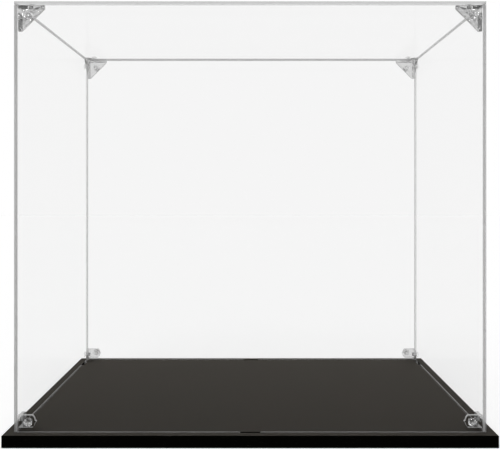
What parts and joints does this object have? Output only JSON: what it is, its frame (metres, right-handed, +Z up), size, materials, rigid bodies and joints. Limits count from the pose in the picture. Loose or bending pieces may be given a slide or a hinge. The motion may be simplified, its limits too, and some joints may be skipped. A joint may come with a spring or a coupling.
{
  "type": "display case",
  "caption": "Rectangular clear panel display case with corner brackets and screws; the cover lifts off a black base board with slots for its tabs.",
  "frame": {"origin": "middle of the base board's underside", "axes": "+X to the right along the long side, +Y to the rear, +Z up; the front wall faces -Y"},
  "size_m": [0.4, 0.3, 0.3616],
  "materials": {
    "base_black": "matte",
    "clear_panel": "gloss",
    "clear_bracket": "gloss",
    "clear_screw": "gloss"
  },
  "bodies": {
    "base": {"base_board": "base_black"},
    "cover": {"front_panel": "clear_panel", "right_panel": "clear_panel", "rear_panel": "clear_panel", "left_panel": "clear_panel", "top_panel": "clear_panel", "top_bracket_front_left": "clear_bracket", "top_bracket_front_right": "clear_bracket", "top_bracket_rear_right": "clear_bracket", "top_bracket_rear_left": "clear_bracket", "bottom_bracket_front_left": "clear_bracket", "bottom_bracket_front_right": "clear_bracket", "bottom_bracket_rear_right": "clear_bracket", "bottom_bracket_rear_left": "clear_bracket", "top_screws_front_left": "clear_screw", "top_screws_front_right": "clear_screw", "top_screws_rear_right": "clear_screw", "top_screws_rear_left": "clear_screw", "bottom_screws_front_left": "clear_screw", "bottom_screws_front_right": "clear_screw", "bottom_screws_rear_right": "clear_screw", "bottom_screws_rear_left": "clear_screw"}
  },
  "joints": [
    {"name": "cover_lift", "type": "slide", "parent": "base", "child": "cover", "axis": [0, 0, 1], "range_m": [0, 0.38]}
  ]
}
